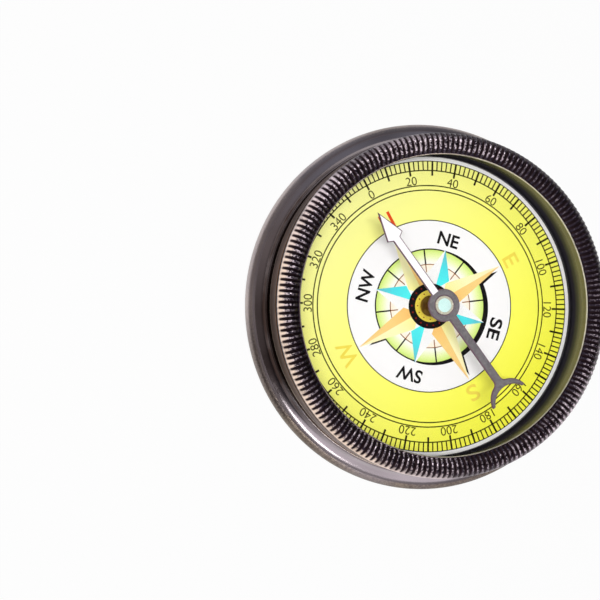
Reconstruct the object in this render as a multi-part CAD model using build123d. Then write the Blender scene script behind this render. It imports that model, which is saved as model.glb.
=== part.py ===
from build123d import *
import math
import os

# Open-face pocket compass, 76 mm across: a turned brass case, a printed dial,
# a magnetised needle on a steel point, and a screwed bezel with a reeded bead that carries the glass.
# Millimetres, +Z up along the needle's axis, +Y towards the dial's north, origin under the middle of the base.

# Case body, from the dial's well outwards
well_radius = 31.4
wall_thickness = 1.55
neck_step = 0.55
ledge_width = 0.9
flare_width = 3.6
rim_height = 3.5
rim_lower_chamfer = 1.1
rim_upper_round = 1.5
shoulder_height = 5.5
shoulder_hollow = 0.45
neck_height = 1.7
thread_length = 5.4
thread_lead_in = 0.35
floor_thickness = 2.7
foot_width = 5.0
foot_recess = 0.7
foot_slope = 0.7

# Dial
plate_thickness = 1.3
plate_clearance = 0.1
card_thickness = 0.3
card_margin = 0.2
dial_ring_width = 0.55
dial_ring_height = 0.8
dial_ring_clearance = 0.05
ring_gap = 3.0
ring_gap_bearing = 151.5

# Pivot
shank_radius = 1.2
shank_clearance = 0.05
shank_projection = 0.2
nut_across_flats = 4.4
nut_thickness = 1.3
nut_pocket_clearance = 0.6
nut_pocket_depth = 0.3
post_flange_radius = 2.2
post_flange_height = 0.5
post_radius = 1.1
post_height = 6.0
post_taper_height = 1.0
post_tip_radius = 0.65
pin_radius = 0.4
pin_socket_depth = 1.8
pin_free_length = 2.35
pin_point_length = 1.1
pin_point_radius = 0.06

# Needle
needle_heading = 8.0
needle_thickness = 0.6
point_reach = 22.8
barb_reach = 16.9
barb_half_width = 1.95
point_back_slope = 0.6
shaft_width = 1.75
hub_radius = 3.3
crescent_reach = 22.9
crescent_radius = 4.3
crescent_throat = 1.35
crescent_hollow_radius = 4.0
crescent_fillet = 1.1
jewel_radius = 1.4
jewel_height = 1.1
jewel_dome = 0.3
jewel_cup_radius = 0.9
jewel_cup_depth = 0.85
jewel_running_gap = 0.05
bush_wall = 0.5
bush_flange_width = 0.5
bush_flange_thickness = 0.35
bush_rim_height = 0.3

# Glass and its clip
crystal_thickness = 1.2
crystal_overhang = 0.1
crystal_clearance = 0.1
crystal_edge_chamfer = 0.2
crystal_play = 0.03
clip_width = 1.15
clip_thickness = 0.78
clip_groove_depth = 0.6
clip_clearance = 0.05
clip_gap = 4.0

# Bezel
thread_clearance = 0.1
skirt_wall = 1.2
skirt_edge_chamfer = 0.25
skirt_gap = 0.6
land_thickness = 0.4
land_overhang = 0.15
gasket_thickness = 0.43
gasket_width = 1.3
gasket_inset = 0.05
bead_groove_depth = 0.6
bead_groove_height = 0.6
lip_overlap = 1.45
lip_thickness = 0.42
reed_count = 194
reed_depth = 0.3
bead_outer_overhang = 0.05
bead_height = 2.3
bead_outer_angles = (-25, 0, 32, 57, 77)
bead_inner_angles = (148, 125, 103)

# Heights and radii that follow from the sizes above
thread_radius = well_radius + wall_thickness
neck_radius = thread_radius + neck_step
shoulder_radius = neck_radius + ledge_width
rim_radius = shoulder_radius + flare_width
crystal_radius = well_radius + crystal_overhang
floor_top = foot_recess + floor_thickness
plate_top = floor_top + plate_thickness
dial_top = plate_top + card_thickness
neck_top = shoulder_height + neck_height
wall_top = neck_top + thread_length
gasket_top = wall_top + gasket_thickness
land_top = gasket_top + land_thickness
groove_top = land_top + clip_thickness + 2 * clip_clearance
crystal_bottom = groove_top
crystal_top = crystal_bottom + crystal_thickness
lip_bottom = crystal_top + crystal_play
skirt_bottom = neck_top + skirt_gap
skirt_bore = thread_radius + thread_clearance
skirt_radius = skirt_bore + skirt_wall
seat_radius = crystal_radius + crystal_clearance
groove_radius = seat_radius + clip_groove_depth
lip_radius = crystal_radius - lip_overlap
lip_top = lip_bottom + lip_thickness
bead_outer_radius = skirt_radius + bead_outer_overhang
reed_slope = reed_depth / bead_outer_radius
bead_half_width = (bead_outer_radius - lip_radius) / 2
bead_middle_radius = bead_outer_radius - bead_half_width
bead_middle_height = lip_top - bead_height * math.sin(math.radians(bead_inner_angles[0]))
post_top = dial_top + post_height
point_height = post_top + pin_free_length
cup_apex = point_height + jewel_running_gap
jewel_bottom = cup_apex - jewel_cup_depth
bush_radius = jewel_radius + bush_wall
blade_bottom = jewel_bottom + bush_flange_thickness
blade_top = blade_bottom + needle_thickness


def turned(*lines):
    """Solid of revolution about +Z from lines drawn as (radius, height)."""
    profile = make_face(Curve() + list(lines))
    return revolve(Plane.XZ * profile, Axis.Z)


def turned_outline(*corners):
    """Solid of revolution about +Z from a straight-sided outline of (radius, height) corners."""
    return turned(Polyline(*corners, close=True))


def ring(inner, outer, low, high):
    return turned_outline((inner, low), (outer, low), (outer, high), (inner, high))


def split_ring(inner, outer, low, high, gap):
    """Ring cut open by a straight gap."""
    opening = Pos((inner + outer) / 2, 0, (low + high) / 2) * Box(outer, gap, 2 * (high - low))
    opening = Rot(0, 0, ring_gap_bearing) * opening
    return ring(inner, outer, low, high) - opening


def make_case_body():
    pocket_radius = nut_across_flats / math.sqrt(3) + nut_pocket_clearance
    pocket_floor = floor_top - nut_thickness - nut_pocket_depth
    foot_outer = rim_radius - rim_lower_chamfer
    foot_inner = foot_outer - foot_width
    rim_side_high = (rim_radius, rim_height - rim_upper_round)
    rim_high = (rim_radius - rim_upper_round, rim_height)
    shoulder_end = (shoulder_radius, shoulder_height)
    thread_start = (thread_radius, neck_top + neck_radius - thread_radius)
    thread_end = (thread_radius, wall_top - thread_lead_in)
    return turned(
        Polyline(
            (0, foot_recess),
            (foot_inner - foot_slope, foot_recess),
            (foot_inner, 0),
            (foot_outer, 0),
            (rim_radius, rim_lower_chamfer),
            rim_side_high,
        ),
        RadiusArc(rim_side_high, rim_high, -rim_upper_round),
        SagittaArc(rim_high, shoulder_end, shoulder_hollow),
        Polyline(
            shoulder_end,
            (neck_radius, shoulder_height),
            (neck_radius, neck_top),
            thread_start,
            thread_end,
            (thread_radius - thread_lead_in, wall_top),
            (well_radius, wall_top),
            (well_radius, floor_top),
            (pocket_radius, floor_top),
            (pocket_radius, pocket_floor),
            (0, pocket_floor),
            (0, foot_recess),
        ),
    )


def make_dial_plate():
    return ring(shank_radius + shank_clearance, well_radius - plate_clearance, floor_top, plate_top)


def make_dial_card():
    return ring(shank_radius + shank_clearance, well_radius - card_margin, plate_top, dial_top)


def make_dial_ring():
    outer = well_radius - dial_ring_clearance
    return split_ring(outer - dial_ring_width, outer, dial_top, dial_top + dial_ring_height, ring_gap)


def make_pivot_post():
    shank_bottom = floor_top - nut_thickness - shank_projection
    taper_start = post_top - post_taper_height
    flange_top = dial_top + post_flange_height
    return turned_outline(
        (0, shank_bottom),
        (shank_radius, shank_bottom),
        (shank_radius, dial_top),
        (post_flange_radius, dial_top),
        (post_flange_radius, flange_top),
        (post_radius, flange_top),
        (post_radius, taper_start),
        (post_tip_radius, post_top),
        (pin_radius, post_top),
        (pin_radius, post_top - pin_socket_depth),
        (0, post_top - pin_socket_depth),
    )


def make_post_nut():
    hexagon = RegularPolygon(nut_across_flats / 2, 6, major_radius=False) - Circle(shank_radius)
    return Pos(0, 0, floor_top - nut_thickness) * extrude(hexagon, nut_thickness)


def make_pivot_pin():
    shoulder = point_height - pin_point_length
    return turned_outline(
        (0, post_top - pin_socket_depth),
        (pin_radius, post_top - pin_socket_depth),
        (pin_radius, shoulder),
        (pin_point_radius, point_height),
        (0, point_height),
    )


def needle_outline():
    """Spear point to +Y, round hub, and a tail that ends in a crescent."""
    half_shaft = shaft_width / 2
    back = barb_reach - point_back_slope
    spear = make_face(Polyline(
        (0, point_reach),
        (barb_half_width, barb_reach),
        (half_shaft, back),
        (-half_shaft, back),
        (-barb_half_width, barb_reach),
        close=True,
    ))
    half_span = crescent_radius * math.sin(math.radians(80))
    crown = crescent_reach - crescent_radius + math.sqrt(crescent_radius**2 - half_span**2)
    tail_end = crown + crescent_throat / 2
    front_shaft = Pos(0, back / 2) * Rectangle(shaft_width, back)
    tail_shaft = Pos(0, -tail_end / 2) * Rectangle(shaft_width, tail_end)
    horns = Pos(0, -crown - crescent_radius) * Circle(crescent_radius)
    horns -= Pos(0, -crown - crescent_throat - crescent_hollow_radius) * Circle(crescent_hollow_radius)
    horns -= Pos(0, -crescent_reach - crescent_radius) * Rectangle(4 * crescent_radius, 2 * crescent_radius)
    tail = tail_shaft + horns
    corners = [v for v in tail.vertices() if abs(v.X) < shaft_width and -tail_end < v.Y < -hub_radius]
    tail = fillet(corners, crescent_fillet)
    return spear + front_shaft + tail + Circle(hub_radius) - Circle(bush_radius)


def make_needle_blade():
    blade = extrude(needle_outline(), needle_thickness)
    return Pos(0, 0, blade_bottom) * Rot(0, 0, needle_heading) * blade


def make_needle_bush():
    flange_radius = bush_radius + bush_flange_width
    return turned_outline(
        (jewel_radius, jewel_bottom),
        (flange_radius, jewel_bottom),
        (flange_radius, blade_bottom),
        (bush_radius, blade_bottom),
        (bush_radius, blade_top + bush_rim_height / 2),
        (bush_radius - bush_rim_height / 2, blade_top + bush_rim_height),
        (jewel_radius, blade_top + bush_rim_height),
    )


def make_needle_jewel():
    jewel_shoulder = jewel_bottom + jewel_height
    shoulder = (jewel_radius, jewel_shoulder)
    crown = (0, jewel_shoulder + jewel_dome)
    dome_radius = (jewel_radius**2 + jewel_dome**2) / (2 * jewel_dome)
    return turned(
        Polyline(
            crown,
            (0, cup_apex),
            (jewel_cup_radius, jewel_bottom),
            (jewel_radius, jewel_bottom),
            shoulder,
        ),
        RadiusArc(shoulder, crown, -dome_radius),
    )


def make_bezel_gasket():
    outer = thread_radius - gasket_inset
    return ring(outer - gasket_width, outer, wall_top, gasket_top)


def make_crystal():
    edge = crystal_radius - crystal_edge_chamfer
    return turned_outline(
        (0, crystal_bottom),
        (edge, crystal_bottom),
        (crystal_radius, crystal_bottom + crystal_edge_chamfer),
        (crystal_radius, crystal_top - crystal_edge_chamfer),
        (edge, crystal_top),
        (0, crystal_top),
    )


def make_crystal_clip():
    outer = groove_radius - clip_clearance
    low = land_top + clip_clearance
    return split_ring(outer - clip_width, outer, low, low + clip_thickness, clip_gap)


def bead_point(angle):
    """Radius and height on the bead's elliptical section; 0 degrees faces out and 90 degrees up."""
    turn = math.radians(angle)
    radius = bead_middle_radius + bead_half_width * math.cos(turn)
    return radius, bead_middle_height + bead_height * math.sin(turn)


def reeded_section(crest_radius, root_radius, height):
    """Flat section across the reeds: one crest and one root in each pitch, so that the flanks are flat facets."""
    half_pitch = math.pi / reed_count
    corners = []
    for step in range(2 * reed_count):
        radius = root_radius if step % 2 else crest_radius
        corners.append((radius * math.cos(step * half_pitch), radius * math.sin(step * half_pitch)))
    return Pos(0, 0, height) * make_face(Polyline(*corners, close=True))


def make_reeded_bead():
    """Solid inside the bead's outer flank."""
    sections = []
    for angle in bead_outer_angles:
        radius, height = bead_point(angle)
        sections.append(reeded_section(radius, radius * (1 - reed_slope), height))
    return loft(sections, ruled=True)


def make_reeded_hollow():
    """Hollow inside the bead's inner flank, carried on past the crest so that it opens upwards."""
    points = [bead_point(angle) for angle in bead_inner_angles]
    (inner_radius, inner_height), (outer_radius, outer_height) = points[-2:]
    points[-1] = (2 * outer_radius - inner_radius, 2 * outer_height - inner_height)
    sections = [reeded_section(radius, radius * (1 + reed_slope), height) for radius, height in points]
    return loft(sections, ruled=True)


def make_bezel():
    bead_low = bead_point(bead_outer_angles[0])[1]
    waist_radius = skirt_radius - bead_groove_depth
    skirt_top = bead_low - bead_groove_height
    skirt = turned_outline(
        (0, skirt_bottom),
        (skirt_radius - skirt_edge_chamfer, skirt_bottom),
        (skirt_radius, skirt_bottom + skirt_edge_chamfer),
        (skirt_radius, skirt_top),
        (waist_radius, skirt_top),
        (waist_radius, lip_bottom),
        (0, lip_bottom),
    )
    land_radius = seat_radius + land_overhang
    bore = turned_outline(
        (0, skirt_bottom - skirt_gap),
        (skirt_bore, skirt_bottom - skirt_gap),
        (skirt_bore, gasket_top),
        (land_radius, gasket_top),
        (land_radius, land_top),
        (groove_radius, land_top),
        (groove_radius, groove_top),
        (seat_radius, groove_top),
        (seat_radius, lip_bottom),
        (lip_radius, lip_bottom),
        (lip_radius, lip_top + bead_height),
        (0, lip_top + bead_height),
    )
    return skirt + make_reeded_bead() - make_reeded_hollow() - bore


nodes = {
    "case_body": make_case_body(),
    "dial_plate": make_dial_plate(),
    "dial_card": make_dial_card(),
    "dial_ring": make_dial_ring(),
    "pivot_post": make_pivot_post(),
    "post_nut": make_post_nut(),
    "pivot_pin": make_pivot_pin(),
    "needle_blade": make_needle_blade(),
    "needle_bush": make_needle_bush(),
    "needle_jewel": make_needle_jewel(),
    "bezel_gasket": make_bezel_gasket(),
    "crystal": make_crystal(),
    "crystal_clip": make_crystal_clip(),
    "bezel": make_bezel(),
}

os.makedirs("parts", exist_ok=True)
for name, solid in nodes.items():
    export_step(solid, f"parts/{name}.step")
print("overall height", round(bead_point(bead_outer_angles[-1])[1], 2), "dial at", round(dial_top, 2))
print("needle blade", round(blade_bottom, 2), "to", round(blade_top, 2), "glass from", round(crystal_bottom, 2))
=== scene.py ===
import math
import random
from functools import partial
import bmesh
import bpy
from mathutils import Matrix, Vector


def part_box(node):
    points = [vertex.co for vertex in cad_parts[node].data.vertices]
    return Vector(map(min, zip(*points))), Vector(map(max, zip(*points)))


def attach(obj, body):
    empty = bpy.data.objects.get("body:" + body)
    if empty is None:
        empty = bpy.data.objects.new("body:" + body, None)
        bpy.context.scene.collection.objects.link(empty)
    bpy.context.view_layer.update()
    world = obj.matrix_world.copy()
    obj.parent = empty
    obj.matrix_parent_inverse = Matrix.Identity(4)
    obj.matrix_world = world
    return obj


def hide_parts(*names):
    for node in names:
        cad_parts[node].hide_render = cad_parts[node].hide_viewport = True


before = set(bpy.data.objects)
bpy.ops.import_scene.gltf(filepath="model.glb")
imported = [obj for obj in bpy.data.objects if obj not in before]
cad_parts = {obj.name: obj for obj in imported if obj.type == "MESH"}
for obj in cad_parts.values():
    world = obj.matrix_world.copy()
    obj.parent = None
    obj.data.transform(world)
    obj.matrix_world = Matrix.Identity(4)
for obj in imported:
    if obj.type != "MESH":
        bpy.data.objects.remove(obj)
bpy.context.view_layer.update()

mm = 0.001
scene = bpy.context.scene
scene.view_settings.view_transform = "Standard"
print("frame loaded:", len(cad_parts), "nodes")


# Shape tools

def addObject(name, data):
    item = bpy.data.objects.new(name, data)
    scene.collection.objects.link(item)
    return item


def cleanMesh(mesh, weld=None):
    work = bmesh.new()
    work.from_mesh(mesh)
    if weld:
        bmesh.ops.remove_doubles(work, verts=work.verts, dist=weld)
    bmesh.ops.recalc_face_normals(work, faces=work.faces)
    work.to_mesh(mesh)
    work.free()


def meshPiece(name, points, faces, smooth=True):
    mesh = bpy.data.meshes.new(name)
    mesh.from_pydata(points, [], faces)
    cleanMesh(mesh)
    mesh.polygons.foreach_set("use_smooth", [smooth] * len(mesh.polygons))
    return addObject(name, mesh)


def meshOfCurve(curve):
    maker = addObject("curveMaker", curve)
    mesh = bpy.data.meshes.new_from_object(maker.evaluated_get(bpy.context.evaluated_depsgraph_get()))
    bpy.data.objects.remove(maker)
    return mesh


def finishShell(shell, marks, finishes, skins):
    # marks: values at the points, by name; skins: the number of each face's finish
    for name, values in marks.items():
        layer = shell.data.attributes.new(name, "FLOAT", "POINT")
        layer.data.foreach_set("value", values)
    for finish in finishes:
        shell.data.materials.append(finish)
    shell.data.polygons.foreach_set("material_index", skins)
    # large flat faces keep their own normal next to small rounded edges
    shell.modifiers.new("evenNormals", "WEIGHTED_NORMAL").weight = 60


def addMarks(marks, *values):
    for column, value in zip(marks.values(), values):
        column.append(value)


def stripFaces(here, there, count):
    # quads between two columns of points, given by their first points
    return [(here + row, there + row, there + row + 1, here + row + 1) for row in range(count - 1)]


def smoothStep(value, low, high):
    share = min(1, max(0, (value - low) / (high - low)))
    return share * share * (3 - 2 * share)


def roundedOutline(corners, steps=5):
    # corners: (radius, height, round, *finish) in mm -> rows of (radius, height, *finish)
    rows = []
    for index, (x, y, size, *finish) in enumerate(corners):
        corner = Vector((x, y))
        before = Vector(corners[index - 1][:2])
        after = Vector(corners[(index + 1) % len(corners)][:2])
        if size <= 0:
            rows.append((x, y, *finish))
            continue
        toBefore = (before - corner).normalized()
        toAfter = (after - corner).normalized()
        half = toBefore.angle(toAfter) / 2
        limit = 0.49 * min((before - corner).length, (after - corner).length)  # two roundings share a side
        reach = min(size / math.tan(half), limit)
        middle = corner + (toBefore + toAfter).normalized() * (reach / math.cos(half))
        start = corner + toBefore * reach - middle
        sweep = start.angle_signed(corner + toAfter * reach - middle)
        for step in range(steps + 1):
            place = middle + Matrix.Rotation(-sweep * step / steps, 2) @ start
            rows.append((place.x, place.y, *finish))
    return rows


def aroundShare(turn, stops):
    # value of a setting round the axis; stops: (degrees, value), in order
    place = math.degrees(turn) % 360
    for (low, first), (high, second) in zip(stops, stops[1:] + [(stops[0][0] + 360, stops[0][1])]):
        for spot in (place, place + 360):
            if low <= spot <= high:
                return first + (second - first) * smoothStep(spot, low, high)
    return stops[0][1]


def between(value, stops):
    # straight-line value from (place, value) stops
    for (low, first), (high, second) in zip(stops, stops[1:]):
        if value <= high:
            return first + (second - first) * max(0, value - low) / (high - low)
    return stops[-1][1]


def onTurn(radius, turn, height):
    return radius * math.cos(turn) * mm, radius * math.sin(turn) * mm, height * mm


def placeOn(piece, body, slot, *nodes):
    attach(piece, body)
    if nodes:
        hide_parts(*nodes)


# Shader tools

white = (1, 1, 1, 1)
black = (0, 0, 0, 1)


def linear(red, green, blue):
    # screen colour 0 to 255 -> the linear values that shaders take
    out = []
    for value in (red, green, blue):
        share = value / 255
        out.append(share / 12.92 if share <= 0.04045 else ((share + 0.055) / 1.055) ** 2.4)
    return (*out, 1)


def shaded(colour, share):
    return tuple(min(1, share * value) for value in linear(*colour)[:3]) + (1,)


def newFinish(name):
    finish = bpy.data.materials.new(name)
    finish.use_nodes = True
    return finish, finish.node_tree.nodes["Principled BSDF"]


def addNode(owner, kind, **settings):
    node = owner.node_tree.nodes.new(kind)
    for key, value in settings.items():
        if hasattr(node, key):
            setattr(node, key, value)
        else:
            node.inputs[key.title()].default_value = value
    return node


def feed(value, socket):
    if isinstance(value, bpy.types.NodeSocket):
        socket.id_data.links.new(value, socket)
    else:
        socket.default_value = value


def feedAll(values, sockets):
    for value, socket in zip(values, sockets):
        feed(value, socket)


def setInputs(shader, values):
    for name, value in values.items():
        shader.inputs[name].default_value = value


def setSheen(shader, rough, specular):
    setInputs(shader, {"Roughness": rough, "Specular IOR Level": specular})


def objectPlace(owner):
    return addNode(owner, "ShaderNodeTexCoord").outputs["Object"]


def noiseOf(owner, place, scale, detail=4):
    node = addNode(owner, "ShaderNodeTexNoise", scale=scale, detail=detail, roughness=0.55)
    feed(place, node.inputs["Vector"])
    return node.outputs["Fac"]


def mathOf(owner, operation, *values):
    node = addNode(owner, "ShaderNodeMath", operation=operation)
    feedAll(values, node.inputs)
    return node.outputs[0]


def rampOf(owner, value, stops):
    node = addNode(owner, "ShaderNodeValToRGB")
    band = node.color_ramp
    while len(band.elements) < len(stops):
        band.elements.new(0.5)
    for element, (place, colour) in zip(band.elements, stops):
        element.position = place
        element.color = colour
    feed(value, node.inputs["Fac"])
    return node.outputs["Color"]


def maskOf(owner, value, low, high):
    # 0 up to low, 1 from high on
    return rampOf(owner, value, [(low, black), (high, white)])


def mixOf(owner, share, first, second):
    node = addNode(owner, "ShaderNodeMix", data_type="RGBA")
    sockets = [node.inputs[index] for index in (0, 6, 7)]  # share and the two colours
    feedAll((share, first, second), sockets)
    return node.outputs[2]


def bumpOf(owner, shader, height, strength, distance):
    node = addNode(owner, "ShaderNodeBump", strength=strength, distance=distance)
    feed(height, node.inputs["Height"])
    feed(node.outputs["Normal"], shader.inputs["Normal"])


def attributeOf(owner, name):
    return addNode(owner, "ShaderNodeAttribute", attribute_name=name).outputs["Fac"]


def heightOf(owner, place):
    parts = addNode(owner, "ShaderNodeSeparateXYZ")
    feed(place, parts.inputs[0])
    return parts.outputs["Z"]


def radiusOf(owner, place):
    flat = addNode(owner, "ShaderNodeVectorMath", operation="MULTIPLY")
    feed(place, flat.inputs[0])
    flat.inputs[1].default_value = (1, 1, 0)
    reach = addNode(owner, "ShaderNodeVectorMath", operation="LENGTH")
    feed(flat.outputs["Vector"], reach.inputs[0])
    return reach.outputs["Value"]


def towards(owner, place, direction):
    node = addNode(owner, "ShaderNodeVectorMath", operation="DOT_PRODUCT")
    feed(place, node.inputs[0])
    node.inputs[1].default_value = direction
    return node.outputs["Value"]


def alongOf(owner, place, bearing):
    # distance from the axis towards a bearing of the dial, degrees clockwise from its north
    turn = math.radians(bearing)
    return towards(owner, place, (math.sin(turn), math.cos(turn), 0))


def mixShader(owner, share, first, second):
    node = addNode(owner, "ShaderNodeMixShader")
    feedAll((share, first, second), node.inputs)
    feed(node.outputs[0], owner.node_tree.nodes["Material Output"].inputs["Surface"])


def twoTone(name, dark, light, scale, detail=4):
    # a finish of two colours mixed by a noise
    finish, shader = newFinish(name)
    noise = noiseOf(finish, objectPlace(finish), scale, detail)
    feed(mixOf(finish, noise, dark, light), shader.inputs["Base Color"])
    return finish, shader, noise


# Metal finishes

metals = {
    # bare and high: pale metal of wear and of painted highlights; the tarnish and soot colours also stand for
    # painted shade
    "caseBrass": {"dark": (160, 151, 154), "light": (200, 190, 194), "bareAndLit": (226, 210, 190),
                  "tarnish": (62, 48, 44), "smooth": 0.14, "grained": 0.42},
    "bezelBrass": {"dark": (35, 30, 38), "light": (68, 59, 71), "bareAndLit": (242, 218, 200), "high": (228, 212, 220),
                   "sootAndShade": (46, 34, 38), "sparkle": 0.35, "smooth": 0.2, "grained": 0.44},
}
antique = {
    # noise scales, then where each mask begins and is full
    "cloud": 120, "speck": 2600, "glint": 1700, "spot": 2400, "haze": 700,
    "glintEdge": (0.55, 0.72), "spotEdge": (0.44, 0.57), "wearAndHighlightEdge": (0.3, 0.95), "sootAndShadeEdge": (0.05, 0.36),
    "cloudLift": 0.5, "spotGain": 1.7, "hazeSpread": 0.12,
    "bump": 0.5, "bumpHeight": 0.00004, "bumpGrained": 0.9, "bumpSmooth": 0.1,
}
fineGrain = {"scale": 1200, "detail": 3, "tones": (0.75, 1.1), "roughSpread": 0.12,
             "bump": 0.1, "bumpHeight": 0.00002}
rubbedAndLitLook = {"cloud": 160, "tones": ((0.3, 0.55), (0.7, 1.5)), "speckLift": 0.5, "rough": 0.26, "specular": 0.1}
wellLook = {"top": 16, "tones": ((0.42, (40, 37, 48)), (0.52, (82, 81, 60)), (0.64, (146, 141, 108))),
            "speck": 900, "stain": (40, 40, 34), "stainShare": 0.25, "rough": 0.5, "specular": 0.05}


def antiqueBrass(name):
    look, a = metals[name], antique
    finish, shader = newFinish(name)
    tools = (noiseOf, mathOf, mixOf, maskOf, attributeOf)
    noise, maths, mix, mask, mark = (partial(tool, finish) for tool in tools)
    place = objectPlace(finish)
    wear, grain = mark("wear"), mark("grain")
    cloud = noise(place, a["cloud"], 5)
    speck = noise(place, a["speck"], 3)
    base = mix(cloud, linear(*look["dark"]), linear(*look["light"]))
    bareAndLit = linear(*look["bareAndLit"])
    pattern = maths("ADD", speck, cloud)
    # tarnish and painted shade: darker where the case would mirror a dark room
    if "tarnish" in look:
        dull = maths("MULTIPLY", mark("tarnish"), maths("ADD", cloud, a["cloudLift"]))
        base = mix(dull, base, linear(*look["tarnish"]))
    if "sparkle" in look:
        # painted glints: specks of pale metal as far as the wear and painted highlight allow, and wear and painted
        # highlight that break up into flecks
        bareAndLit = mix(mark("cool"), bareAndLit, linear(*look["high"]))
        glint = mask(noise(place, a["glint"], 2), *a["glintEdge"])
        base = mix(maths("MULTIPLY", glint, maths("MINIMUM", wear, look["sparkle"])), base, bareAndLit)
        spots = mask(noise(place, a["spot"], 2), *a["spotEdge"])
        spotted = maths("SUBTRACT", maths("MULTIPLY", spots, a["spotGain"]), pattern)
        pattern = maths("ADD", pattern, maths("MULTIPLY", mark("fleck"), spotted))
    # pale metal where worn and where a highlight is painted
    base = mix(mask(maths("MULTIPLY", wear, pattern), *a["wearAndHighlightEdge"]), base, bareAndLit)
    # soot in the grooves, with painted shade there
    if "sootAndShade" in look:
        base = mix(mask(mark("groove"), *a["sootAndShadeEdge"]), base, linear(*look["sootAndShade"]))
    feed(base, shader.inputs["Base Color"])
    setInputs(shader, {"Metallic": 1})
    rough = maths("ADD", maths("MULTIPLY", grain, look["grained"] - look["smooth"]), look["smooth"])
    haze = maths("MULTIPLY", noise(place, a["haze"]), a["hazeSpread"])
    feed(maths("ADD", rough, haze), shader.inputs["Roughness"])
    coarse = maths("ADD", maths("MULTIPLY", grain, a["bumpGrained"]), a["bumpSmooth"])
    bumpOf(finish, shader, maths("MULTIPLY", speck, coarse), a["bump"], a["bumpHeight"])
    return finish


def grainSurface(owner, shader, speck, rough):
    # roughness and bump that follow the fine grain
    uneven = mathOf(owner, "MULTIPLY", speck, fineGrain["roughSpread"])
    feed(mathOf(owner, "ADD", uneven, rough), shader.inputs["Roughness"])
    bumpOf(owner, shader, speck, fineGrain["bump"], fineGrain["bumpHeight"])
    return owner


def plainMetal(name, colour, rough, metallic=1):
    dark, light = (shaded(colour, tone) for tone in fineGrain["tones"])
    finish, shader, speck = twoTone(name, dark, light, fineGrain["scale"], fineGrain["detail"])
    setInputs(shader, {"Metallic": metallic})
    return grainSurface(finish, shader, speck, rough)


def rubbedFinish(name, dull, bareAndLit, metallic):
    # dull, and pale brass along an edge where it is rubbed and where a highlight is painted
    look = rubbedAndLitLook
    finish, shader = newFinish(name)
    place = objectPlace(finish)
    speck = noiseOf(finish, place, fineGrain["scale"], fineGrain["detail"])
    tones = [(edge, shaded(dull, tone)) for edge, tone in look["tones"]]
    cloud = rampOf(finish, noiseOf(finish, place, look["cloud"], 6), tones)
    lifted = mathOf(finish, "ADD", speck, look["speckLift"])
    rubbedAndLit = mathOf(finish, "MULTIPLY", attributeOf(finish, "wear"), lifted)
    feed(mixOf(finish, rubbedAndLit, cloud, linear(*bareAndLit)), shader.inputs["Base Color"])
    setInputs(shader, {"Metallic": metallic, "Specular IOR Level": look["specular"]})
    return grainSurface(finish, shader, speck, look["rough"])


def wellFinish():
    # painted reflection and shade: olive near the top, where the wall would mirror the yellow dial, and dark
    # towards the dial
    look = wellLook
    finish, shader = newFinish("polishedWell")
    place = objectPlace(finish)
    share = mathOf(finish, "DIVIDE", heightOf(finish, place), look["top"] * mm)
    tone = rampOf(finish, share, [(edge, linear(*colour)) for edge, colour in look["tones"]])
    stained = mathOf(finish, "MULTIPLY", noiseOf(finish, place, look["speck"]), look["stainShare"])
    feed(mixOf(finish, stained, tone, linear(*look["stain"])), shader.inputs["Base Color"])
    setSheen(shader, look["rough"], look["specular"])
    return finish


# Case: a turned shell with its thread, and a polished well

case = {
    "rim": 38, "rimHeight": 3.5, "chamfer": 1.1, "upperRound": 1.5,
    "shoulder": (34.4, 5.5), "hollow": 0.45, "neck": 33.5, "neckTop": 7.2,
    "thread": 32.95, "threadLow": 7.75, "threadHigh": 12.25, "threadDepth": 0.42, "pitch": 1,
    "threadFade": 0.5, "threadFlank": (0.1, 0.9), "threadStep": 0.09, "threadRows": 51,
    "wallTop": 12.6, "wallChamfer": 0.35, "well": 31.4, "floorTop": 3.4,
    "recess": 0.7, "foot": 31.9, "footSlope": 0.7, "axisGap": 0.01,
    "segments": 288, "rimSteps": 12, "hollowSteps": 16,
    # the finish of the rim fades over these steps, those of the hollow change at these shares of it
    "rimFade": (9, 13), "innerFrom": (0.35, 0.65), "edgeFrom": (0.72, 0.9),
    # tarnish and painted shade of the rim, the outer and inner hollow and its upper edge, painted darker on the
    # sides where the metal would mirror a dark room: degrees round the case, share
    "tarnish": {
        "rim": [(61, 0.35), (76, 0.45), (91, 0.05), (106, 0), (145, 0), (171, 0.78), (186, 0.93),
                (196, 0.98), (206, 0.86), (221, 0.66), (236, 0.92), (251, 0.95), (330, 0.6)],
        "outer": [(61, 0), (76, 0.4), (91, 0.05), (131, 0.05), (155, 0.6), (171, 0.8), (180, 0.4),
                  (186, 0), (196, 0.15), (206, 0.2), (221, 0.3), (236, 0.15), (330, 0.3)],
        "inner": [(61, 0.5), (76, 0.3), (91, 0.58), (106, 0.92), (121, 0.94), (171, 1), (186, 0.95),
                  (196, 0.55), (206, 0.2), (216, 0), (261, 0), (330, 0.4)],
        "edge": [(61, 0.5), (91, 0.5), (106, 0.6), (131, 0.84), (171, 0.95), (178, 0.8), (186, 0.4),
                 (196, 0.25), (206, 0), (261, 0), (330, 0.4)],
    },
    # painted highlight along the hollow's upper edge, added to its wear: degrees round the case, share
    "edgeWornAndLit": [(61, 0), (180, 0), (190, 0.15), (206, 0.3), (221, 0.6), (240, 0.6), (261, 0.3), (300, 0)],
}


def threadCut(turn, height):
    # depth of the screw thread, fading out at both ends
    c = case
    wave = abs((height / c["pitch"] - turn / (2 * math.pi)) % 1 - 0.5) * 2
    ends = smoothStep(height, c["threadLow"], c["threadLow"] + c["threadFade"])
    ends *= 1 - smoothStep(height, c["threadHigh"] - c["threadFade"], c["threadHigh"])
    return c["threadDepth"] * smoothStep(wave, *c["threadFlank"]) * ends


def caseRow(x, y, size=0, wear=0, grain=0, rim=0, outer=0, inner=0, edge=0, skin=0):
    # size rounds the corner, rim to edge are shares of the tarnish and painted shade, skin 1 is the well
    return x, y, size, wear, grain, rim, outer, inner, edge, skin


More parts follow.
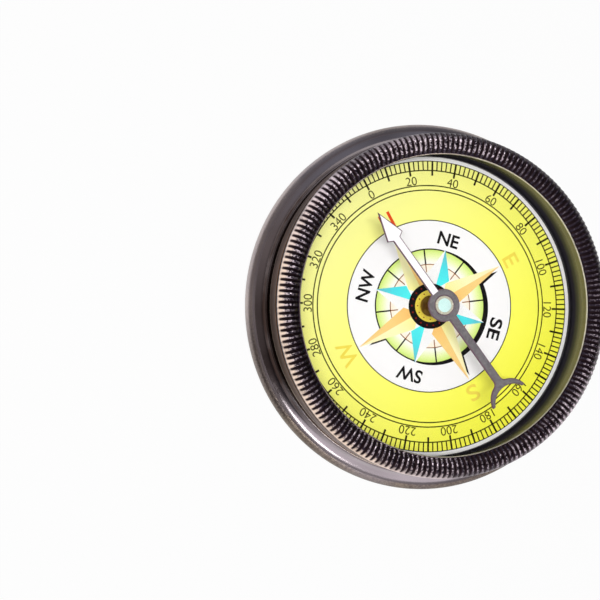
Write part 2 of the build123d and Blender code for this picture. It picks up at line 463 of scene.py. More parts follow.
def makeCase():
    c = case
    shoulderX, shoulderY = c["shoulder"]
    rimTop = c["rim"] - c["upperRound"]
    rimSide = c["rimHeight"] - c["upperRound"]
    rimRound = []
    for step in range(c["rimSteps"] + 1):
        turn = math.radians(90 * step / c["rimSteps"])
        x = rimTop + c["upperRound"] * math.cos(turn)
        y = rimSide + c["upperRound"] * math.sin(turn)
        share = 1 - smoothStep(step, *c["rimFade"])
        rimRound.append(caseRow(x, y, wear=0.4 * share, grain=1 - 0.5 * step / c["rimSteps"], rim=share))
    hollow = []
    for step in range(1, c["hollowSteps"]):
        share = step / c["hollowSteps"]
        sag = 4 * c["hollow"] * share * (1 - share) / math.sqrt(2)
        x = rimTop + (shoulderX - rimTop) * share - sag
        y = c["rimHeight"] + (shoulderY - c["rimHeight"]) * share - sag
        inner = smoothStep(share, *c["innerFrom"])
        edge = smoothStep(share, *c["edgeFrom"])
        hollow.append(caseRow(x, y, outer=1 - inner, inner=inner * (1 - edge), edge=edge))
    levels = [c["threadLow"] + c["threadStep"] * step for step in range(c["threadRows"])]
    corners = [
        caseRow(c["axisGap"], c["recess"], wear=0.1, grain=0.6, rim=0.8),
        caseRow(c["foot"] - c["footSlope"], c["recess"], size=0.25, wear=0.1, grain=0.6, rim=0.8),
        caseRow(c["foot"], 0, size=0.3, wear=0.75, grain=0.6, rim=0.6),
        caseRow(c["rim"] - c["chamfer"], 0, size=0.5, wear=0.8, grain=1, rim=1),
        caseRow(c["rim"], c["chamfer"], size=0.5, wear=0.45, grain=1, rim=1),
        *rimRound,
        *hollow,
        caseRow(shoulderX, shoulderY, size=0.25, wear=0.2, grain=0.15, edge=1),
        caseRow(c["neck"], shoulderY, size=0.1, grain=0.3, inner=1),
        caseRow(c["neck"], c["neckTop"], size=0.12, wear=0.3, grain=0.3, inner=1),
        *(caseRow(c["thread"], level, wear=0.3, grain=0.2, inner=0.5) for level in levels),
        caseRow(c["thread"] - c["wallChamfer"], c["wallTop"], size=0.1, wear=0.4, grain=0.2, inner=0.5),
        caseRow(c["well"], c["wallTop"], size=0.1, wear=0.3, skin=1),
        caseRow(c["well"], c["floorTop"], skin=1),
        caseRow(c["axisGap"], c["floorTop"], skin=1),
    ]
    rows = roundedOutline(corners)
    count = len(rows)
    points, faces, skins = [], [], []
    marks = {"wear": [], "grain": [], "tarnish": []}
    for step in range(c["segments"]):
        turn = 2 * math.pi * step / c["segments"]
        dull = [aroundShare(turn, stops) for stops in c["tarnish"].values()]
        # painted highlight along the hollow's upper edge
        rubbedAndLit = aroundShare(turn, c["edgeWornAndLit"])
        for radius, height, wear, grain, *shares, _ in rows:
            cut = threadCut(turn, height) if radius == c["thread"] else 0
            points.append(onTurn(radius - cut, turn, height))
            tarnish = sum(here * share for here, share in zip(dull, shares))
            addMarks(marks, wear + rubbedAndLit * shares[-1], grain, tarnish)
        faces += stripFaces(step * count, (step + 1) % c["segments"] * count, count)
        skins += [row[-1] for row in rows[:-1]]
    for row in (0, count - 1):
        faces.append([step * count + row for step in range(c["segments"])])
        skins.append(rows[row][-1])
    shell = meshPiece("caseShell", points, faces)
    finishShell(shell, marks, [antiqueBrass("caseBrass"), wellFinish()], skins)
    placeOn(shell, "case", "case_brass", "case_body")


# Bezel: skirt, groove and a bead with straight reeds

bezel = {
    "skirt": 34.25, "skirtLow": 7.8, "skirtHigh": 13.17, "waist": 33.65, "footBand": (0.6, 0.9),
    "bore": 33.05, "boreTop": 13.03, "land": 31.75, "landTop": 13.43, "clipGroove": 32.2, "clipGrooveTop": 14.31,
    "seat": 31.6, "lipLow": 15.54, "lip": 29.85, "ringReach": (0.25, 0.3, 0.4), "ringShare": 0.5, "ringAt": 150,
    "beadMiddle": (32.175, 14.741), "beadHalfWidth": 2.125, "beadHeight": 2.24, "beadInner": 148, "beadOuter": -25,
    "beadSteps": 44, "reeds": 194, "samples": 8, "depth": 0.42, "flat": 0.1, "flank": 1.5, "crown": 0.06,
    # degrees over the bead where the reeds set in and run out, the crests narrow and the wear and painted
    # highlight turn to glinting flecks
    "reedFrom": (7, 29), "reedFade": (125, 148), "narrowFrom": (25, 90), "glintFleckFrom": (40, 85),
    "crest": 0.7, "beadGrain": 0.5,
    # how far single reeds differ in depth and in wear and painted highlight
    "seed": 4, "depthSpread": (0.92, 1.06), "rubAndLightSpread": (0.75, 1.1),
    "inside": [("bore", "boreTop"), ("land", "boreTop"), ("land", "landTop"), ("clipGroove", "landTop"),
               ("clipGroove", "clipGrooveTop"), ("seat", "clipGrooveTop")],
    "skins": {"reeds": 0, "groove": 1, "lip": 2, "skirt": 3},
    # wear and painted highlight of the bead, lighter where the metal would mirror bright light: degrees round it,
    # then its foot, outer side, shoulder, top and inner side
    "wornAndLit": [(1, 0.1, 0.15, 0.1, 0.1, 0.15), (16, 0.1, 0.15, 0.1, 0.12, 0.25), (31, 0.1, 0.2, 0.15, 0.25, 0.35),
             (46, 0.2, 0.25, 0.2, 0.7, 0.95), (61, 0.3, 0.3, 0.25, 1.2, 1.3), (76, 0.5, 0.4, 0.6, 1.3, 1.1),
             (91, 0.4, 0.4, 0.5, 0.7, 0.6), (106, 0.1, 0.6, 0.9, 1, 0.45), (121, 0, 1, 1.25, 1.1, 0.4),
             (131, 0, 1.2, 1.4, 1, 0.45), (151, 0, 1.2, 1.3, 0.6, 0.35), (171, 0, 1.15, 1.2, 0.42, 0.3),
             (186, 0.2, 1.2, 1, 0.4, 0.38), (196, 0.35, 1.4, 0.95, 0.38, 0.45), (206, 0.6, 1.4, 0.95, 0.4, 0.6),
             (221, 1, 1.1, 0.65, 0.48, 0.95), (236, 0.95, 0.75, 0.5, 0.6, 0.95), (251, 0.5, 0.55, 0.45, 0.6, 0.4),
             (271, 0.6, 0.6, 0.55, 0.75, 0.35), (291, 0.7, 0.75, 0.85, 1, 0.4), (306, 0.5, 0.6, 0.6, 0.85, 0.38),
             (321, 0.3, 0.4, 0.3, 0.4, 0.35)],
    "wornAndLitAt": (6, 13, 45, 80, 115),  # degrees over the bead of these five
    # wear and painted highlight on the bead's inner side, and where over the bead it sits
    "innerWornAndLit": [(186, 0.2), (206, 0.6), (221, 1.1), (236, 0.9), (251, 0.2)],
    "innerWornAndLitAt": 138,
    # wear and painted highlight of the skirt's lower band, then of the lip's edge: degrees round the bezel, share
    "skirtWornAndLit": [(1, 0.2), (106, 0.1), (131, 0.2), (161, 0.3), (171, 0.5), (186, 1.2), (206, 1.5), (236, 1.2),
                  (251, 0.5), (301, 0.2)],
    "lipWornAndLit": [(31, 1), (46, 0.7), (61, 0.15), (76, 0), (206, 0), (221, 0.3), (251, 0.4), (306, 0.6), (331, 1)],
    # how far the soot and painted shade of the grooves narrow the crests inwards, and how cool the pale metal of
    # wear and painted highlight looks
    "shadeTaper": [(1, 1.2), (36, 1), (54, 0.1), (80, 0.1), (98, 0.8), (131, 0.8), (151, 1.2), (206, 1.4), (251, 1),
              (291, 0.5), (321, 1)],
    "cool": [(1, 1), (106, 1), (126, 0.4), (141, 0), (206, 0), (236, 0.7), (256, 1)],
}


def reedDip(place):
    # 0 on a reed's flat top, 1 in the groove; place runs from -0.5 to 0.5 across one reed
    side = max(0, (abs(place) - bezel["flat"]) / (0.5 - bezel["flat"]))
    return (1 - bezel["crown"]) * side ** bezel["flank"] + bezel["crown"] * (2 * place) ** 2


def beadRows():
    # rows of (radius, height, outward radius, outward height, reed share, degrees over the bead)
    b = bezel
    middle, level = b["beadMiddle"]
    rows = []
    for step in range(b["beadSteps"] + 1):
        degrees = b["beadInner"] + (b["beadOuter"] - b["beadInner"]) * step / b["beadSteps"]
        x = math.cos(math.radians(degrees))
        y = math.sin(math.radians(degrees))
        outward = Vector((x / b["beadHalfWidth"], y / b["beadHeight"])).normalized()
        share = 1 - (1 - b["ringShare"]) * smoothStep(degrees, *b["reedFade"])
        share *= smoothStep(degrees, *b["reedFrom"])
        rows.append((middle + b["beadHalfWidth"] * x, level + b["beadHeight"] * y, *outward, share, degrees))
    # the reeds run out over the flat ring, up to the lip
    ring = [(b["lip"] + reach, rows[0][1], 0, 1, b["ringShare"], b["ringAt"]) for reach in b["ringReach"]]
    return ring + rows


def wearOver(turn):
    # wear and painted highlight at one place round the bead, as (degrees over the bead, share)
    stops = []
    for index, place in enumerate(bezel["wornAndLitAt"], 1):
        column = [(row[0], row[index]) for row in bezel["wornAndLit"]]
        stops.append((place, aroundShare(turn, column)))
    return stops + [(bezel["innerWornAndLitAt"], aroundShare(turn, bezel["innerWornAndLit"]))]


def bezelRow(x, y, size=0, wear=0, grain=0.5, skin="reeds"):
    return x, y, size, wear, grain, bezel["skins"][skin]


def makeBezel():
    b = bezel
    bead = beadRows()
    lipTop = bead[0][1]
    beadLow = bead[-1][1]
    bandLow, bandHigh = (b["skirtLow"] + rise for rise in b["footBand"])
    corners = [
        bezelRow(b["waist"], beadLow, grain=0.3, skin="groove"),
        bezelRow(b["waist"], b["skirtHigh"], size=0.1, grain=0.3, skin="groove"),
        bezelRow(b["skirt"], b["skirtHigh"], size=0.12, wear=0.12, skin="skirt"),
        bezelRow(b["skirt"], bandHigh, wear=0.12, skin="skirt"),
        # the skirt's lower band: pale where rubbed and where a highlight is painted
        bezelRow(b["skirt"], bandLow, wear=1, skin="skirt"),
        bezelRow(b["skirt"], b["skirtLow"], size=0.2, wear=1, skin="skirt"),
        bezelRow(b["bore"], b["skirtLow"], size=0.15, wear=0.3),
        *(bezelRow(b[radius], b[level]) for radius, level in b["inside"]),
        bezelRow(b["seat"], b["lipLow"], wear=1, grain=0.3, skin="lip"),
        bezelRow(b["lip"], b["lipLow"], size=0.1, wear=1, grain=0.3, skin="lip"),
        bezelRow(b["lip"], lipTop, size=0.12, wear=1, grain=0.3, skin="lip"),
        bezelRow(b["lip"] + b["ringReach"][0], lipTop, grain=0.3),
    ]
    body = roundedOutline(corners, 3)
    reedSkin = b["skins"]["reeds"]
    body[-2] = (*body[-2][:-1], reedSkin)  # the ring after the lip's rounding looks like the reeds
    plainColumns = 2 * b["reeds"]
    points, faces, skins = [], [], []
    marks = {"wear": [], "grain": [], "groove": [], "fleck": [], "cool": []}
    for column in range(plainColumns):
        turn = 2 * math.pi * column / plainColumns
        # wear and painted highlight of the lip and skirt round the bezel
        rubbedAndLit = {b["skins"][name]: aroundShare(turn, b[name + "WornAndLit"]) for name in ("lip", "skirt")}
        for radius, height, wear, grain, skin in body:
            points.append(onTurn(radius, turn, height))
            addMarks(marks, wear * rubbedAndLit.get(skin, 1), grain, 0, 0, 0)
    reedColumns = b["reeds"] * b["samples"]
    random.seed(b["seed"])
    for column in range(reedColumns):
        if column % b["samples"] == 0:
            depth = b["depth"] * random.uniform(*b["depthSpread"])
            rubAndLight = random.uniform(*b["rubAndLightSpread"])
        turn = 2 * math.pi * column / reedColumns
        wornAndLit = wearOver(turn)
        cool = aroundShare(turn, b["cool"])
        shadeTaper = aroundShare(turn, b["shadeTaper"])
        dip = reedDip(column % b["samples"] / b["samples"] - 0.5)
        for radius, height, outX, outZ, share, degrees in bead[1:-1]:
            sink = depth * dip * share
            points.append(onTurn(radius - outX * sink, turn, height - outZ * sink))
            # the grooves take soot and painted shade, which narrows the painted highlights on the crests
            groove = dip * share * (b["crest"] + shadeTaper * smoothStep(degrees, *b["narrowFrom"]))
            fleck = smoothStep(degrees, *b["glintFleckFrom"])
            addMarks(marks, between(degrees, wornAndLit) * rubAndLight, b["beadGrain"], groove, fleck, max(cool, fleck))
    count = len(body)
    reedRows = len(bead) - 2
    firstReed = plainColumns * count
    for column in range(plainColumns):
        here = column * count
        there = (column + 1) % plainColumns * count
        faces += stripFaces(here, there, count)
        skins += [row[-1] for row in body[:-1]]
        # the finer reed columns join the plain ones at the lip and under the bead
        step = b["samples"] // 2
        near = [firstReed + (column * step + i) % reedColumns * reedRows for i in range(step + 1)]
        far = [index + reedRows - 1 for index in near]
        faces += [[there + count - 1, here + count - 1, *near], [there, here, *far]]
        skins += [reedSkin] * 2
    for column in range(reedColumns):
        here = firstReed + column * reedRows
        there = firstReed + (column + 1) % reedColumns * reedRows
        faces += stripFaces(here, there, reedRows)
        skins += [reedSkin] * (reedRows - 1)
    shell = meshPiece("bezelShell", points, faces)
    finishes = [  # in the order of the skins
        antiqueBrass("bezelBrass"),
        plainMetal("grooveBrass", (88, 58, 32), rough=0.25),
        # lip and skirt: dark, and pale where rubbed and where a highlight is painted
        rubbedFinish("lipBrass", dull=(34, 24, 14), bareAndLit=(240, 233, 214), metallic=0),
        rubbedFinish("skirtBrass", dull=(84, 57, 42), bareAndLit=(240, 224, 202), metallic=0.85),
    ]
    finishShell(shell, marks, finishes, skins)
    placeOn(shell, "bezel", "bezel_brass", "bezel")


makeCase()
makeBezel()
print("case and bezel made")


# Dial print: thin layers of ink on the card

inkStep = 0.01  # mm a layer
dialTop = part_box("dial_card")[1][2] / mm
inkLook = {"grain": 1600, "tones": (0.93, 1.05), "rough": 0.5, "specular": 0.2,
           "bump": 0.05, "bumpHeight": 0.00001}


def inkSurface(finish, shader, grain):
    setSheen(shader, inkLook["rough"], inkLook["specular"])
    bumpOf(finish, shader, grain, inkLook["bump"], inkLook["bumpHeight"])
    return finish


def inkFinish(name, colour):
    dark, light = (shaded(colour, tone) for tone in inkLook["tones"])
    return inkSurface(*twoTone(name, dark, light, inkLook["grain"]))


def gradedInk(name, stops, pale, bearing=None):
    # colour by distance from the middle, or towards a bearing of the dial
    # stops: (place in mm, colour); pale lightens the grain
    finish, shader = newFinish(name)
    place = objectPlace(finish)
    if bearing is None:
        near, along = 0, radiusOf(finish, place)
    else:
        near = stops[0][0]
        along = mathOf(finish, "SUBTRACT", alongOf(finish, place, bearing), near * mm)
    reach = stops[-1][0] - near
    share = mathOf(finish, "DIVIDE", along, reach * mm)
    colours = rampOf(finish, share, [((spot - near) / reach, linear(*colour)) for spot, colour in stops])
    grain = noiseOf(finish, place, inkLook["grain"])
    lightened = mathOf(finish, "MULTIPLY", grain, pale)
    feed(mixOf(finish, lightened, colours, white), shader.inputs["Base Color"])
    return inkSurface(finish, shader, grain)


# painted light: the yellow grows paler towards one side of the dial, where more light falls
yellowLitStops = [(-28, (255, 254, 60)), (0, (255, 254, 113)), (28, (255, 254, 160))]
plainInks = {
    "black": (16, 13, 16), "scale": (34, 32, 4), "numeral": (66, 64, 8), "fine": (54, 54, 4), "red": (232, 74, 18),
    "gold": (246, 224, 84), "white": (252, 251, 252), "brown": (150, 92, 34), "spot": (150, 26, 14),
}
radialInks = {
    "green": [(8, (255, 255, 252)), (9.2, (252, 254, 236)), (10.4, (236, 249, 172)), (11.8, (204, 236, 100))],
    "orange": [(4, (255, 198, 106)), (9, (253, 212, 126)), (17, (246, 206, 128))],
    "pale": [(4, (255, 246, 150)), (9, (255, 250, 188)), (17, (254, 238, 188))],
    "cyan": [(4, (70, 250, 250)), (8.5, (62, 226, 236)), (12.2, (104, 180, 200))],
    "blush": [(5, (255, 254, 252)), (6.8, (255, 251, 245)), (8.6, (255, 241, 218))],
}
inks = {"yellow": gradedInk("yellowInk", yellowLitStops, pale=0.04, bearing=-19)}
inks |= {name: inkFinish(name + "Ink", colour) for name, colour in plainInks.items()}
inks |= {name: gradedInk(name + "Ink", stops, pale=0.06) for name, stops in radialInks.items()}


def inkPiece(name, shapes, layer, ink):
    # shapes: (outer loop, inner loop or None) in mm, each a thin prism on the card
    points, faces = [], []
    low = (dialTop - inkStep) * mm
    high = (dialTop + inkStep * (layer + 1)) * mm
    for outer, inner in shapes:
        count = len(outer)
        first = len(points)
        for loop in (outer, inner or []):
            for z in (low, high):
                points += [(x * mm, y * mm, z) for x, y in loop]
        bottom, top, holeBottom, holeTop = (first + i * count for i in range(4))
        walls = [(bottom, top)]
        if inner is None:
            faces += [range(bottom, bottom + count), range(top, top + count)]
        else:
            walls += [(holeBottom, holeTop), (top, holeTop), (bottom, holeBottom)]
        for i in range(count):
            j = (i + 1) % count
            faces += [(a + i, a + j, b + j, b + i) for a, b in walls]
    piece = meshPiece(name, points, faces, smooth=False)
    piece.data.materials.append(inks[ink])
    placeOn(piece, "case", "printed_card")


def polar(radius, bearing):
    # bearing: degrees clockwise from the dial's north
    turn = math.radians(bearing)
    return radius * math.sin(turn), radius * math.cos(turn)


def disc(radius, shift=(0, 0), steps=240):
    loop = [polar(radius, 360 * i / steps) for i in range(steps)]
    return [(shift[0] + x, shift[1] + y) for x, y in loop], None


def band(inner, outer, steps=360):
    return disc(outer, steps=steps)[0], disc(inner, steps=steps)[0]


def lineAt(radius, inside, outside):
    return [band(radius - inside, radius + outside)]


def bar(bearing, near, far, width):
    sides = [polar(width / 2, bearing + turn) for turn in (-90, 90)]
    ends = [polar(near, bearing), polar(far, bearing)]
    order = [(0, 0), (0, 1), (1, 1), (1, 0)]
    return [(ends[e][0] + sides[s][0], ends[e][1] + sides[s][1]) for e, s in order], None


def halfPoint(bearing, side, look):
    # one half of a rose point; side 1 is the clockwise half
    middle = polar(look["waist"], bearing)
    out = polar(side * look["half"], bearing + 90)
    corner = middle[0] + out[0], middle[1] + out[1]
    return [polar(look["root"], bearing), corner, polar(look["tip"], bearing)], None


scale = {
    "outer": 29.96, "inner": 28, "longTick": 26.95, "lineOuter": 24.87, "lineInner": 23.94,
    "tickWidth": 0.26, "longTickWidth": 0.4, "line": 0.25, "edge": (0.12, 0.06),
    "every": 2, "longEvery": 10,  # degrees from tick to tick
}
rose = {
    "field": 17.7, "fieldLine": (0.1, 0.1), "ring": 11.78, "ringLine": (0.17, 0.1),
    "innerRing": 8.6, "innerLine": (0.09, 0.09), "tickFrom": 7, "tickWidth": 0.3, "tailWidth": 0.2,
    "main": {"tip": 17.4, "waist": 5.2, "half": 2.5, "root": 3},
    "cross": {"tip": 12.15, "waist": 6.1, "half": 2.55, "root": 3.6},
    "shadowShift": (0.55, -0.75), "shadowScale": 0.915, "ringShift": (0.52, -0.56), "ringShadow": 11.95,
    "eye": (3.3, 4.68), "eyeHole": 1.3, "eyeLap": 0.1,
    "spots": [(18, 4, 0.17), (12, 2.75, 0.14)], "spotSteps": 12,  # how many, how far out, radius
}
quarters = (0, 90, 180, 270)


def makeScale():
    s = scale
    half = s["line"] / 2
    inkPiece("yellowField", [band(rose["field"], s["outer"])], 0, "yellow")
    lines = [band(r - half, r + half) for r in (s["lineOuter"], s["lineInner"], s["inner"])]
    inkPiece("scaleLines", lines, 1, "fine")
    inkPiece("scaleEdge", lineAt(s["outer"], *s["edge"]), 2, "scale")
    ticks = []
    for bearing in range(0, 360, s["every"]):
        if bearing % s["longEvery"] == 0:
            ticks.append(bar(bearing, s["longTick"], s["outer"], s["longTickWidth"]))
        else:
            ticks.append(bar(bearing, s["inner"], s["outer"], s["tickWidth"]))
    inkPiece("scaleTicks", ticks, 3, "scale")


def makeRose():
    r = rose
    inkPiece("roseFieldLine", lineAt(r["field"], *r["fieldLine"]), 2, "black")
    inkPiece("roseRingShadow", [disc(r["ringShadow"], r["ringShift"])], 0, "black")
    shrink = r["shadowScale"]
    shiftX, shiftY = r["shadowShift"]
    loops = [halfPoint(q, side, r["main"])[0] for q in quarters for side in (1, -1)]
    shadows = [([(x * shrink + shiftX, y * shrink + shiftY) for x, y in loop], None) for loop in loops]
    inkPiece("roseShadow", shadows, 1, "black")
    inkPiece("roseRing", [disc(r["ring"])], 2, "green")
    inkPiece("roseRingLine", lineAt(r["ring"], *r["ringLine"]), 3, "black")
    inkPiece("innerTint", [disc(r["innerRing"])], 3, "blush")
    inkPiece("innerLine", lineAt(r["innerRing"], *r["innerLine"]), 4, "brown")
    halfWinds = [22.5 + 45 * i for i in range(8)]
    tails = [bar(b, r["tickFrom"], r["innerRing"], r["tailWidth"]) for b in halfWinds]
    inkPiece("halfWindTails", tails, 5, "brown")
    ticks = [bar(b, r["innerRing"], r["ring"], r["tickWidth"]) for b in halfWinds]
    inkPiece("halfWindTicks", ticks, 5, "black")
    for name, key, turn, side, layer, ink in (
            ("crossBlue", "cross", 45, 1, 6, "cyan"), ("crossWhite", "cross", 45, -1, 6, "white"),
            ("mainOrange", "main", 0, 1, 8, "orange"), ("mainPale", "main", 0, -1, 8, "pale")):
        inkPiece(name, [halfPoint(turn + q, side, r[key]) for q in quarters], layer, ink)
    inner, outer = r["eye"]
    inkPiece("eyeField", [band(r["eyeHole"], inner + r["eyeLap"])], 9, "gold")
    inkPiece("eyeRing", [band(inner, outer)], 10, "black")
    spots = [disc(size, polar(reach, 360 * i / count), r["spotSteps"])
             for count, reach, size in r["spots"] for i in range(count)]
    inkPiece("eyeSpots", spots, 11, "spot")


lettering = {
    "layer": 3, "capHeight": 0.655,  # of the font's size
    "numerals": {"radius": 25.82, "height": 1.65, "stroke": -0.005, "every": 20},
    # stroke thickens the letters; each has its bearing, radius, width and shift sideways
    "north": {"height": 3.4, "stroke": 0.17, "letters": [("N", 0, 19.35, 0.8, 0.25)]},
    "winds": {"height": 3.2, "stroke": 0.06,
              "letters": [("E", 90, 20, 1.15, 0), ("S", 180, 20, 1.25, 0.5), ("W", 270, 20, 1, 0)]},
    "halfWinds": {"height": 2.6, "stroke": 0.08, "letters": [
        ("NE", 45, 14.1, 1, 0), ("SE", 135, 14.7, 1.3, 0.6),
        ("SW", 225, 14.55, 0.97, 0.4), ("NW", 315, 14.3, 0.97, 0)]},
}


def wordMesh(look, text, bearing, radius, wide=1, shift=0):
    # flat lettering whose top faces the rim
    curve = bpy.data.curves.new(text, "FONT")
    curve.body = text
    curve.size = (look["height"] - 2 * look["stroke"]) / lettering["capHeight"] * mm
    curve.align_x = curve.align_y = "CENTER"
    curve.offset = look["stroke"] * mm
    curve.extrude = inkStep * (lettering["layer"] + 1) * mm
    mesh = meshOfCurve(curve)
    x, y = polar(radius, bearing)
    turn = Matrix.Rotation(-math.radians(bearing), 4, "Z")
    mesh.transform(Matrix.Translation((shift * mm, 0, 0)) @ Matrix.Diagonal((wide, 1, 1, 1)))
    mesh.transform(Matrix.Translation((x * mm, y * mm, dialTop * mm)) @ turn)
    return mesh


def wordPiece(name, look, words, ink):
    # words: (text, bearing, radius, width, shift), joined into one piece
    work = bmesh.new()
    for word in words:
        work.from_mesh(wordMesh(look, *word))
    mesh = bpy.data.meshes.new(name)
    work.to_mesh(mesh)
    work.free()
    mesh.materials.append(inks[ink])
    placeOn(addObject(name, mesh), "case", "printed_card")


def makeLettering():
    look = lettering["numerals"]
    numerals = [(str(degrees), degrees, look["radius"]) for degrees in range(0, 360, look["every"])]
    wordPiece("numerals", look, numerals, "numeral")
    for name, key, ink in (("northLetter", "north", "red"), ("windLetters", "winds", "gold"),
                           ("halfWindLetters", "halfWinds", "black")):
        wordPiece(name, lettering[key], lettering[key]["letters"], ink)


makeScale()
makeRose()
makeLettering()
print("dial printed")


# Needle: flat blade with eased edges, painted white to the north

needle = {
    "heading": 8, "point": 22.8, "barb": (1.95, 16.9), "barbBack": 0.6, "shaft": 0.875, "hub": 3.3, "hole": 1.9,
    "hornOuter": 4.3, "hornInner": 4, "throat": 1.35, "reach": 22.9, "hornTurn": 80, "fillet": 1.1, "easing": 0.2,
    "hubSteps": 28, "filletSteps": 8, "outerSteps": 12, "innerSteps": 14, "holeSteps": 48, "weld": 0.002,
    # the hub is painted dark out to this radius: painted shade standing for the shaded gap round the bush
    "paintFrom": 3, "darkRing": 2.1, "flatTop": 0.98,
    "grey": ((70, 68, 72), (142, 136, 140)), "white": ((246, 240, 246), (254, 251, 254)),
    "ring": (30, 26, 28), "edge": (112, 86, 102),
    "grain": 1800, "rough": 0.4, "specular": 0.3, "bump": 0.15, "bumpHeight": 0.00002,
}


def arc(middle, radius, start, end, steps):
    angles = [math.radians(start + (end - start) * i / steps) for i in range(steps + 1)]
    return [(middle[0] + radius * math.cos(a), middle[1] + radius * math.sin(a)) for a in angles]


def bladeLoop():
    n = needle
    hubTurn = math.degrees(math.acos(n["shaft"] / n["hub"]))
    crown = n["reach"] - n["hornOuter"] + n["hornOuter"] * math.cos(math.radians(n["hornTurn"]))
    outerMiddle = -crown - n["hornOuter"]
    innerMiddle = -crown - n["throat"] - n["hornInner"]
    filletX = n["shaft"] + n["fillet"]
    filletY = outerMiddle + math.sqrt((n["hornOuter"] + n["fillet"]) ** 2 - filletX ** 2)
    meet = math.degrees(math.atan2(filletY - outerMiddle, filletX))
    hornIn = math.degrees(math.asin((-n["reach"] - innerMiddle) / n["hornInner"]))
    side = [(0, n["point"]), n["barb"], (n["shaft"], n["barb"][1] - n["barbBack"])]
    side += arc((0, 0), n["hub"], hubTurn, -hubTurn, n["hubSteps"])
    side += arc((filletX, filletY), n["fillet"], 180, 180 + meet, n["filletSteps"])
    side += arc((0, outerMiddle), n["hornOuter"], meet, 90 - n["hornTurn"], n["outerSteps"])[1:]
    side += arc((0, innerMiddle), n["hornInner"], hornIn, 90, n["innerSteps"])
    return side + [(-x, y) for x, y in reversed(side[1:-1])]


def needleFinish():
    n = needle
    finish, shader = newFinish("needlePaint")
    place = objectPlace(finish)
    along = alongOf(finish, place, -n["heading"])
    grain = noiseOf(finish, place, n["grain"])
    paints = [mixOf(finish, grain, *(linear(*tone) for tone in n[key])) for key in ("grey", "white")]
    north = mathOf(finish, "GREATER_THAN", along, n["paintFrom"] * mm)
    paint = mixOf(finish, north, *paints)
    # painted shade: a dark ring round the bush
    ring = mathOf(finish, "LESS_THAN", radiusOf(finish, place), n["darkRing"] * mm)
    feed(mixOf(finish, ring, paint, linear(*n["ring"])), shader.inputs["Base Color"])
    setSheen(shader, n["rough"], n["specular"])
    bumpOf(finish, shader, grain, n["bump"], n["bumpHeight"])
    return finish


def makeNeedle():
    n = needle
    low, high = (corner[2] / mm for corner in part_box("needle_blade"))
    curve = bpy.data.curves.new("needleBlade", "CURVE")
    curve.dimensions = "2D"
    curve.fill_mode = "BOTH"
    for loop in (bladeLoop(), disc(n["hole"], steps=n["holeSteps"])[0]):
        spline = curve.splines.new("POLY")
        spline.points.add(len(loop) - 1)
        spline.points.foreach_set("co", [value for x, y in loop for value in (x * mm, y * mm, 0, 1)])
        spline.use_cyclic_u = True
    curve.offset = -n["easing"] * mm
    curve.bevel_depth = n["easing"] * mm
    curve.bevel_resolution = 2
    curve.extrude = ((high - low) / 2 - n["easing"]) * mm
    mesh = meshOfCurve(curve)
    turn = Matrix.Rotation(math.radians(n["heading"]), 4, "Z")
    mesh.transform(Matrix.Translation((0, 0, (low + high) / 2 * mm)) @ turn)
    cleanMesh(mesh, n["weld"] * mm)
    mesh.name = "needleBlade"
    mesh.materials.clear()
    mesh.materials.append(needleFinish())
    mesh.materials.append(inkFinish("needleEdge", n["edge"]))
    for face in mesh.polygons:
        face.material_index = 0 if face.normal.z > n["flatTop"] else 1
    placeOn(addObject("needleBlade", mesh), "needle", "needle_steel", "needle_blade")


makeNeedle()
print("needle made")


# Other pieces keep their own shape and get a finish

def paperFinish():
    tones = linear(246, 244, 245), linear(254, 253, 254)
    finish, shader, fibre = twoTone("cardPaper", *tones, scale=2200, detail=6)
    setSheen(shader, rough=0.6, specular=0.2)
    bumpOf(finish, shader, fibre, strength=0.08, distance=0.00001)
    return finish


def glassFinish():
    # clear to the lamps, so that they reach the dial
    finish, shader = newFinish("flatGlass")
    setInputs(shader, {"Base Color": white, "Roughness": 0, "IOR": 1.46, "Transmission Weight": 1})
    clear = addNode(finish, "ShaderNodeBsdfTransparent").outputs[0]
    lampRay = addNode(finish, "ShaderNodeLightPath").outputs["Is Shadow Ray"]
    mixShader(finish, lampRay, shader.outputs[0], clear)
    return finish


def jewelFinish():
    finish, shader, _ = twoTone("capJewel", linear(190, 236, 230), linear(226, 248, 246), scale=900)
    setInputs(shader, {"Roughness": 0.08, "Coat Weight": 0.6})
    return finish


turnedBrass = plainMetal("turnedBrass", (196, 158, 84), rough=0.25)
nodeFinishes = {
    "dial_plate": turnedBrass,
    "dial_card": paperFinish(),
    "dial_ring": inkFinish("blackedRing", (24, 22, 30)),
    "pivot_post": turnedBrass,
    "post_nut": turnedBrass,
    "pivot_pin": plainMetal("brightSteel", (226, 228, 228), rough=0.12),
    "needle_bush": plainMetal("paleBush", (236, 230, 210), rough=0.2, metallic=0.35),
    "needle_jewel": jewelFinish(),
    "bezel_gasket": inkFinish("sealRubber", (30, 30, 30)),
    "crystal": glassFinish(),
    "crystal_clip": plainMetal("blackSpring", (38, 36, 50), rough=0.45),
}
for node, nodeFinish in nodeFinishes.items():
    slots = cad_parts[node].data.materials
    slots.clear()
    slots.append(nodeFinish)
print("finishes set")


# Floor, lamps and camera

